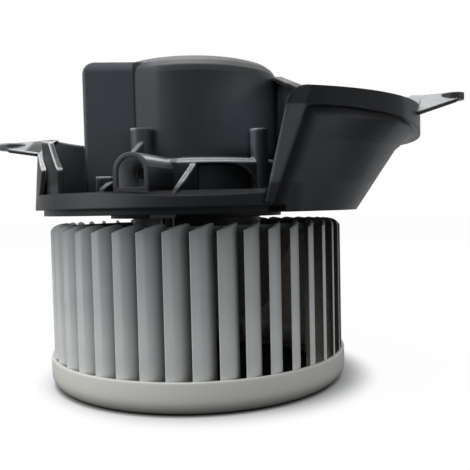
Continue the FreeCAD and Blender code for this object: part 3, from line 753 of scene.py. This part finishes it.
def finish(piece, material, body, slot, *nodes):
    """Material, smooth light, body and the nodes that the piece stands for; slot is not used."""
    piece.data.materials.clear()
    piece.data.materials.append(material)
    activate(piece)
    bpy.ops.object.shade_smooth_by_angle(angle=math.radians(SMOOTH_DEG))
    clear_selection()
    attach(piece, body)
    if nodes:
        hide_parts(*nodes)


def arc(r, z, radius, start, end, count):
    """Points of a round on the profile plane, angles in degrees."""
    out = []
    for i in range(count + 1):
        a = math.radians(start + (end - start) * i / count)
        out.append((r + radius * math.cos(a), z + radius * math.sin(a)))
    return out


def curve_through(points, parts=4):
    """Smooth curve through profile points (Catmull-Rom)."""
    ends = [points[0]] + points + [points[-1]]
    out = []
    for a, b, c, d in zip(ends, ends[1:], ends[2:], ends[3:]):
        for i in range(parts):
            t = i / parts
            out.append(tuple(0.5 * (2 * q + (r - p) * t + (2 * p - 5 * q + 4 * r - s) * t * t
                                    + (3 * q - p - 3 * r + s) * t ** 3) for p, q, r, s in zip(a, b, c, d)))
    return out + [points[-1]]


# Settings a user may change

class BlowerColours(bpy.types.PropertyGroup):
    cover: bpy.props.FloatVectorProperty(
        name="Cover", description="Colour of the moulded cover", subtype="COLOR", size=4,
        default=rgb(31, 34, 38), min=0.0, max=1.0)
    wheel: bpy.props.FloatVectorProperty(
        name="Wheel", description="Colour of the fan wheel", subtype="COLOR", size=4,
        default=rgb(192, 195, 193), min=0.0, max=1.0)


class BlowerStage(bpy.types.PropertyGroup):
    distance: bpy.props.FloatProperty(
        name="Camera distance", description="From the turning axis to the camera", default=0.320,
        unit="LENGTH")
    height: bpy.props.FloatProperty(
        name="Camera height", description="Camera height against the cover's seat", default=-0.0005,
        unit="LENGTH")
    yaw: bpy.props.FloatProperty(
        name="Yaw", description="Camera turned to the right", default=math.radians(3.55), subtype="ANGLE")
    pitch: bpy.props.FloatProperty(
        name="Pitch", description="Camera tilted up", default=math.radians(-2.6), subtype="ANGLE")
    roll: bpy.props.FloatProperty(
        name="Roll", description="Camera rolled about its view", default=math.radians(-1.3),
        subtype="ANGLE")
    lens: bpy.props.FloatProperty(
        name="Lens", description="Focal length in millimetres on a 36 mm wide sensor", default=46.72)
    key: bpy.props.FloatProperty(
        name="Key lamp", description="Strength of the lamp at the upper left", default=7.8)
    top: bpy.props.FloatProperty(
        name="Top lamp", description="Strength of the lamp overhead", default=12.0)
    front: bpy.props.FloatProperty(
        name="Front lamp", description="Strength of the soft lamp before the object", default=0.7)
    side: bpy.props.FloatProperty(
        name="Side lamp", description="Strength of the soft lamp at the right", default=1.7)
    fill: bpy.props.FloatProperty(
        name="Fill", description="Strength of the even light of the room", default=0.38)


# Operators

class BLOWER_OT_cover(bpy.types.Operator):
    """Finish the moulded cover"""
    bl_idname = "blower.cover"
    bl_label = "Cover"

    def execute(self, context):
        plastic = moulded_black(tuple(context.scene.blower_colours.cover))
        rubber = soft_rubber()
        for node, material in (("housing", plastic), ("retaining_ring", plastic),
                               ("retaining_screws", zinc_screw()),
                               ("upper_isolator", rubber), ("lower_isolator", rubber)):
            dress(node, material)
        return {"FINISHED"}


class BLOWER_OT_wheel(bpy.types.Operator):
    """Finish the fan wheel"""
    bl_idname = "blower.wheel"
    bl_label = "Fan wheel"

    def execute(self, context):
        ring = self.ring()
        dome = self.dome()
        blades = copies_round(self.blade(), BLADES)
        ribs = copies_round(self.rib(), RIBS)
        wheel = join([ring, dome, blades, ribs])
        wheel.name = "wheel"
        finish(wheel, moulded_grey(tuple(context.scene.blower_colours.wheel)), "rotor", "grey_plastic",
               "fan_wheel")
        return {"FINISHED"}

    @staticmethod
    def ring():
        """Ring with a round lower edge and a small step at its top."""
        top = WHEEL_LOW + RING_H
        outer = arc(WHEEL_R - RING_ROUND, WHEEL_LOW + RING_ROUND, RING_ROUND, -90, 0, 12)
        rim = arc(WHEEL_R - 0.5, top - 0.5, 0.5, 0, 90, 3) + arc(WHEEL_R - 1.6, top - 0.4, 0.4, 90, 180, 3)
        inner = arc(WHEEL_R - 7.0, WHEEL_LOW + 7.0, 5.0, 0, -90, 8)
        return spun("wheel_ring", outer + rim + inner, 160)

    @staticmethod
    def dome():
        """Dome over the motor's mouth, with the hub inside."""
        top = DOME_TOP
        hub = SHAFT_R + 6.0
        edge = BLADE_IN + 1.6
        under = curve_through([(edge, top - 1.2), (58, top - 5), (49, top - 12), (41.5, top - 27),
                               (37.6, top - 40), (30, top - 45.6), (15, top - 47.6)])
        over = curve_through([(9.6, top - 45.4), (28.5, top - 43.4), (35.6, top - 38.4), (39.4, top - 26.4),
                              (46.6, top - 11.2), (57, top - 3.0), (edge - 1, top)])
        nose = arc(hub - 1, HUB_END + 1, 1.0, 0, -90, 3)
        bore = [(SHAFT_R + 0.5, HUB_END), (SHAFT_R + PRESS, HUB_END + 0.5), (SHAFT_R + PRESS, top - 38.4),
                (SHAFT_R + 0.4, top - 38)]
        return spun("wheel_dome", under + [(hub, top - 48)] + nose + bore + [(hub - 1, top - 38)] + over, 128)

    def blade(self):
        """One bowed blade with rounded shoulders, thin at both edges."""
        piece = trace("wheel_blade", [(x, y, BLADE_FOOT) for x, y in self.blade_outline()])
        bpy.ops.mesh.edge_face_add()
        bpy.ops.mesh.extrude_region_move(
            TRANSFORM_OT_translate={"value": (0, 0, (BLADE_TOP - BLADE_FOOT) * MM)})
        self.shoulder(BLADE_OUT - 5.4, BLADE_TOP - 6.2, 5.8, 0.2, 78, 6, 6)
        self.shoulder(BLADE_IN + 2.2, BLADE_TOP - 2.3, 2.0, 0.9, 100, 165, 3)
        close_mesh(0.01)
        bevel(piece, 0.12, 2, 50)
        return piece

    @staticmethod
    def blade_outline():
        """Both sides of a blade seen from above, in millimetres."""
        turn = math.radians(BLADE_SWEEP)
        outer = Vector((BLADE_OUT, 0))
        chord = Vector((BLADE_IN * math.cos(turn), BLADE_IN * math.sin(turn))) - outer
        normal = Vector((chord.y, -chord.x)).normalized()
        front = []
        back = []
        steps = 12
        for i in range(steps + 1):
            share = 0.5 - 0.5 * math.cos(math.pi * i / steps)
            bow = 4 * share * (1 - share)
            spot = outer + chord * share
            front.append(spot + normal * (bow * BLADE_BULGE))
            back.append(spot + normal * (bow * (BLADE_BULGE - BLADE_T + BLADE_TIP) - BLADE_TIP))
        cosine = math.cos(math.radians(BLADE_PHASE))
        sine = math.sin(math.radians(BLADE_PHASE))
        return [(spot.x * cosine - spot.y * sine, spot.x * sine + spot.y * cosine)
                for spot in front + back[::-1]]

    @staticmethod
    def shoulder(r, z, radius, share, start, end, steps):
        """Cuts a round into a blade's top, in the upright plane at this share of its sweep."""
        turn = math.radians(BLADE_PHASE) + math.radians(BLADE_SWEEP) * share
        cosine, sine = math.cos(turn), math.sin(turn)
        for i in range(steps + 1):
            a = math.radians(start + (end - start) * i / steps)
            out = math.cos(a)
            reach = r + radius * out
            height = z + radius * math.sin(a)
            bpy.ops.mesh.select_all(action="SELECT")
            bpy.ops.mesh.bisect(plane_co=(reach * cosine * MM, reach * sine * MM, height * MM),
                                plane_no=(out * cosine, out * sine, math.sin(a)),
                                use_fill=True, clear_outer=True)

    @staticmethod
    def rib():
        """One of the ribs between hub and dome."""
        piece = block("wheel_rib", (20, 0, DOME_TOP - 44.4), (26, 1.6, 5.4))
        edit(piece)
        bpy.ops.mesh.bisect(plane_co=(12 * MM, 0, (DOME_TOP - 46.4) * MM), plane_no=(0.12, 0, -1),
                            use_fill=True, clear_outer=True)
        bpy.ops.object.mode_set(mode="OBJECT")
        bevel(piece, 0.2)
        return piece


def coil(name, wire, radius, pitch, turns, corners=10):
    """Wire wound about X, centred on the origin, in millimetres."""
    clear_selection()
    half = pitch * turns / 2
    bpy.ops.mesh.primitive_circle_add(vertices=corners, radius=wire * MM,
                                      location=(-half * MM, 0, radius * MM), rotation=(math.pi / 2, 0, 0))
    piece = named(name)
    modify(piece, "SCREW", axis="X", angle=2 * math.pi * turns, screw_offset=2 * half * MM,
           steps=int(24 * turns), use_merge_vertices=False)
    edit(piece)
    bpy.ops.mesh.fill_holes(sides=0)
    close_mesh()
    return piece


def stand_at(piece, degrees, radius, height, across=False):
    """Moves a piece built about X out along a radius of the motor, or across it."""
    activate(piece)
    if across:
        bpy.ops.transform.rotate(value=math.pi / 2, orient_axis="Z", center_override=(0, 0, 0))
        settle()
    bpy.ops.transform.translate(value=(radius * MM, 0, height * MM))
    settle()
    piece.rotation_euler = (0, 0, math.radians(degrees))
    settle()
    return piece


class BLOWER_OT_springs(bpy.types.Operator):
    """Wind the two brush springs"""
    bl_idname = "blower.springs"
    bl_label = "Brush springs"

    def execute(self, context):
        wire = spring_wire()
        for i, side in enumerate((90, -90)):
            spring = coil("brush_spring", wire=0.36, radius=2.2, pitch=1.82, turns=3.5)
            stand_at(spring, TUNNEL_DEG + side, (BRUSH_END + GUIDE_END) / 2, SPRING_Z)
            finish(spring, wire, "cover", "spring_steel", "brush_spring_%d" % (i + 1))
        return {"FINISHED"}


class BLOWER_OT_chokes(bpy.types.Operator):
    """Wind the two chokes on their ferrite rods"""
    bl_idname = "blower.chokes"
    bl_label = "Chokes"

    def execute(self, context):
        copper = enamelled_copper()
        ferrite = ground_ferrite()
        for i, side in enumerate((135, -135)):
            wire = coil("choke_wire", wire=0.42, radius=1.86, pitch=0.9, turns=9.5)
            stand_at(wire, TUNNEL_DEG + side, CHOKE_R, CHOKE_Z, across=True)
            finish(wire, copper, "cover", "copper", "choke_%d" % (i + 1))
            clear_selection()
            bpy.ops.mesh.primitive_cylinder_add(vertices=32, radius=1.4 * MM, depth=12.8 * MM,
                                                rotation=(0, math.pi / 2, 0))
            rod = named("choke_rod")
            bevel(rod, 0.25, 3)
            stand_at(rod, TUNNEL_DEG + side, CHOKE_R, CHOKE_Z, across=True)
            finish(rod, ferrite, "cover", "ferrite")
        return {"FINISHED"}


class BLOWER_OT_screws(bpy.types.Operator):
    """Model one recessed, threaded screw and copy it to the three lugs"""
    bl_idname = "blower.screws"
    bl_label = "Retaining screws"

    def execute(self, context):
        low, high = (corner.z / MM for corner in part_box("retaining_screws"))
        screw = join([self.head(low), self.stem(low + SCREW_HEAD - 0.1, high)])
        screws = join([stand_at(copy_of(screw), degrees, SCREW_R, 0) for degrees in SCREW_DEG])
        remove(screw)
        screws.name = "screws"
        finish(screws, zinc_screw(), "cover", "zinc_steel", "retaining_screws")
        return {"FINISHED"}

    @staticmethod
    def head(low):
        """Pan head with a cross recess."""
        head = cylinder("screw_head", 3.2, low, low + SCREW_HEAD)
        edit(head)
        bpy.ops.mesh.select_all(action="DESELECT")
        mesh = bmesh.from_edit_mesh(head.data)
        for edge in mesh.edges:
            edge.select = all(vert.co.z < (low + 0.1) * MM for vert in edge.verts)
        bmesh.update_edit_mesh(head.data)
        bpy.ops.mesh.bevel(offset=0.9 * MM, segments=5, affect="EDGES")
        bpy.ops.object.mode_set(mode="OBJECT")
        for turn in (0, math.pi / 2):
            cutter = block("cutter", (0, 0, low), (3.8, 0.9, 2.2), turn)
            bevel(cutter, 0.2)
            modify(head, "BOOLEAN", operation="DIFFERENCE", object=cutter)
            remove(cutter)
        return head

    @staticmethod
    def stem(low, high):
        """Thread forming stem with a sharp ridge and a blunt tip."""
        core = cylinder("screw_stem", 1.2, low, high, 24)
        bevel(core, 0.4, 2, 60)
        ridge = coil("thread", wire=0.34, radius=1.3, pitch=1.0, turns=8.5, corners=3)
        activate(ridge)
        bpy.ops.transform.rotate(value=math.pi / 2, orient_axis="Y", center_override=(0, 0, 0))
        bpy.ops.transform.translate(value=(0, 0, (low + high) / 2 * MM))
        settle()
        return join([core, ridge])


class BLOWER_OT_clips(bpy.types.Operator):
    """Press the toothed bearing retainer and the wheel clip"""
    bl_idname = "blower.clips"
    bl_label = "Retainer and clip"

    def execute(self, context):
        steel = spring_wire()
        for node, body, inner, teeth, width in (("bearing_retainer", "cover", SHAFT_R + 1.2, 10, 1.7),
                                                ("wheel_clip", "rotor", SHAFT_R + PRESS, 6, 1.3)):
            low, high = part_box(node)
            plate = self.plate(node, inner, high.x / MM, low.z / MM, high.z / MM, teeth, width)
            finish(plate, steel, body, "spring_steel", node)
        return {"FINISHED"}

    @staticmethod
    def plate(node, inner, outer, low, high, teeth, width):
        """Flat spring ring whose inner edge is cut into teeth."""
        root = inner + 0.42 * (outer - inner)
        ring = spun(node + "_ring", [(root, low), (outer - 0.2, low), (outer, low + 0.2), (outer, high),
                                     (root, high)], 72)
        tooth = block(node + "_tooth", ((inner + root) / 2, 0, (low + high) / 2),
                      (root - inner + 0.2, width, 0.45))
        bevel(tooth, 0.1)
        return join([ring, copies_round(tooth, teeth)])


class BLOWER_OT_marks(bpy.types.Operator):
    """Add the round ejector marks of the mould to the cover"""
    bl_idname = "blower.marks"
    bl_label = "Ejector marks"

    def execute(self, context):
        mark = cylinder("ejector_mark", 2.2, -0.6, 0.12, 32)
        bevel(mark, 0.08)
        made = []
        for place in MARKS:
            made.append(copy_of(mark))
            bpy.ops.transform.translate(value=Vector(place) * MM)
        remove(mark)
        marks = join(made)
        marks.name = "ejector_marks"
        finish(marks, moulded_black(tuple(context.scene.blower_colours.cover)), "cover", "black_plastic")
        return {"FINISHED"}


class BLOWER_OT_motor(bpy.types.Operator):
    """Finish the motor"""
    bl_idname = "blower.motor"
    bl_label = "Motor"

    def execute(self, context):
        steel = drawn_steel()
        wire = spring_wire()
        bronze = sintered_bronze()
        copper = enamelled_copper()
        carbon = pressed_carbon()
        ferrite = ground_ferrite()
        brass = tinned_brass()
        white = washer_white()
        materials = {
            "motor_can": steel, "motor_end_plate": steel, "magnet_1": ferrite, "magnet_2": ferrite,
            "brush_card": card_brown(), "brush_1": carbon, "brush_2": carbon,
            "brush_spring_1": wire, "brush_spring_2": wire, "choke_1": copper, "choke_2": copper,
            "terminal_plus": brass, "terminal_minus": brass, "lower_bearing": bronze,
            "upper_bearing": bronze, "bearing_retainer": wire, "shaft": ground_steel(),
            "armature_core": laminations(), "armature_windings": copper, "commutator": copper_bars(),
            "thrust_washer_low": white, "thrust_washer_top": white, "wheel_clip": wire,
        }
        for node, material in materials.items():
            dress(node, material)
        return {"FINISHED"}


def area_lamp(name, place, aim, size, power):
    """A square white lamp that shines from place to aim."""
    data = bpy.data.lights.new(name, "AREA")
    data.shape = "SQUARE"
    data.size = size
    data.energy = power
    lamp = bpy.data.objects.new(name, data)
    bpy.context.scene.collection.objects.link(lamp)
    lamp.location = place
    lamp.rotation_euler = (Vector(aim) - Vector(place)).to_track_quat("-Z", "Y").to_euler()


def floor_paint():
    """Pale floor: white to the camera away from the object, shaded below it, with a painted shadow inside the
    wheel's ring, greyer in bounced light.
    """
    paint = new_paint("pale_floor")
    x, y, _ = paint.axes()
    radius = (x * x + y * y).root()
    seen, diffuse, glossy = (paint.node("ShaderNodeLightPath", out="Is %s Ray" % kind)
                             for kind in ("Camera", "Diffuse", "Glossy"))
    colour = paint.blend(paint.noise(40 * MM, 3.0, 0.5), rgb(232, 232, 232), rgb(238, 238, 238))
    # Painted shadow on the floor inside the wheel's ring
    colour = paint.blend(radius.ramp(RING_R, RING_R * 0.93), colour, rgb(38, 38, 36))
    colour = paint.blend(diffuse.at_least(glossy) * y.ramp(0.35, 0.03), colour, rgb(104, 106, 110))
    matte = paint.node("ShaderNodeBsdfDiffuse", {}, {"Color": colour})
    white = paint.node("ShaderNodeEmission", {}, {"Color": (1.0, 1.0, 1.0, 1.0), "Strength": 1.0})
    share = seen * radius.ramp(RING_R, RING_R * 1.25) * 0.97
    return paint.close(paint.node("ShaderNodeMixShader", {}, {0: share, 1: matte, 2: white}))


class BLOWER_OT_stage(bpy.types.Operator):
    """Set the floor, the lamps, the world and the camera"""
    bl_idname = "blower.stage"
    bl_label = "Stage"

    def execute(self, context):
        stage = context.scene.blower_stage
        clear_selection()
        bpy.ops.mesh.primitive_plane_add(size=8.0, location=(0, 0, FLOOR_Z))
        floor = context.active_object
        floor.name = "floor"
        settle()
        floor.data.materials.append(floor_paint())
        for name, place, aim, size, setting in LAMPS:
            area_lamp(name, place, aim, size, getattr(stage, setting))
        self.world(stage)
        self.camera(stage)
        context.scene.view_settings.view_transform = "Standard"
        return {"FINISHED"}

    @staticmethod
    def world(stage):
        """White to the camera; for the rest an even light that grows towards the back."""
        sky = Paint(bpy.data.worlds.new("studio"), "ShaderNodeOutputWorld")
        seen, through = (sky.node("ShaderNodeLightPath", out="Is %s Ray" % kind)
                         for kind in ("Camera", "Transmission"))
        white = sky.node("ShaderNodeBackground", {}, {"Color": (1, 1, 1, 1), "Strength": 1.0})
        back = sky.split(sky.node("ShaderNodeTexCoord", out="Generated"))[1]
        level = sky.node("ShaderNodeMapRange", {}, {0: back, 1: 0.0, 2: 0.9, 3: stage.fill, 4: 1.0})
        room = sky.node("ShaderNodeBackground", {}, {"Color": (0.96, 0.98, 1.0, 1), "Strength": level})
        mixed = sky.node("ShaderNodeMixShader", {}, {0: seen.at_least(through), 1: room, 2: white})
        bpy.context.scene.world = sky.close(mixed)

    @staticmethod
    def camera(stage):
        """A camera before the object, turned by yaw, pitch and roll."""
        data = bpy.data.cameras.new("camera")
        data.sensor_width = 36.0
        data.lens = stage.lens
        data.clip_start = 0.005
        camera = bpy.data.objects.new("camera", data)
        bpy.context.scene.collection.objects.link(camera)
        ahead = Vector((math.sin(stage.yaw) * math.cos(stage.pitch),
                        math.cos(stage.yaw) * math.cos(stage.pitch), math.sin(stage.pitch)))
        level = Vector((math.cos(stage.yaw), -math.sin(stage.yaw), 0.0))
        rise = level.cross(ahead)
        right = level * math.cos(stage.roll) + rise * math.sin(stage.roll)
        over = rise * math.cos(stage.roll) - level * math.sin(stage.roll)
        turn = Matrix((right, over, -ahead)).transposed()
        camera.matrix_world = Matrix.Translation((0.0, -stage.distance, stage.height)) @ turn.to_4x4()
        bpy.context.scene.camera = camera


class BLOWER_PT_panel(bpy.types.Panel):
    """Buttons of the blower builder"""
    bl_idname = "BLOWER_PT_panel"
    bl_label = "Cabin blower"
    bl_space_type = "VIEW_3D"
    bl_region_type = "UI"
    bl_category = "Blower"

    def draw(self, context):
        for group in (context.scene.blower_colours, context.scene.blower_stage):
            for name in group.bl_rna.properties.keys():
                if name not in ("rna_type", "name"):
                    self.layout.prop(group, name)
        for operator in OPERATORS:
            self.layout.operator(operator.bl_idname)


OPERATORS = (BLOWER_OT_cover, BLOWER_OT_wheel, BLOWER_OT_motor, BLOWER_OT_springs, BLOWER_OT_chokes,
             BLOWER_OT_screws, BLOWER_OT_clips, BLOWER_OT_marks, BLOWER_OT_stage)
CLASSES = (BlowerColours, BlowerStage) + OPERATORS + (BLOWER_PT_panel,)


def register():
    for item in CLASSES:
        bpy.utils.register_class(item)
    bpy.types.Scene.blower_colours = bpy.props.PointerProperty(type=BlowerColours)
    bpy.types.Scene.blower_stage = bpy.props.PointerProperty(type=BlowerStage)


def unregister():
    del bpy.types.Scene.blower_stage
    del bpy.types.Scene.blower_colours
    for item in reversed(CLASSES):
        bpy.utils.unregister_class(item)


def main():
    register()
    bpy.ops.blower.cover()
    bpy.ops.blower.wheel()
    bpy.ops.blower.motor()
    bpy.ops.blower.springs()
    bpy.ops.blower.chokes()
    bpy.ops.blower.screws()
    bpy.ops.blower.clips()
    bpy.ops.blower.marks()
    bpy.ops.blower.stage()


if __name__ == "__main__":
    main()
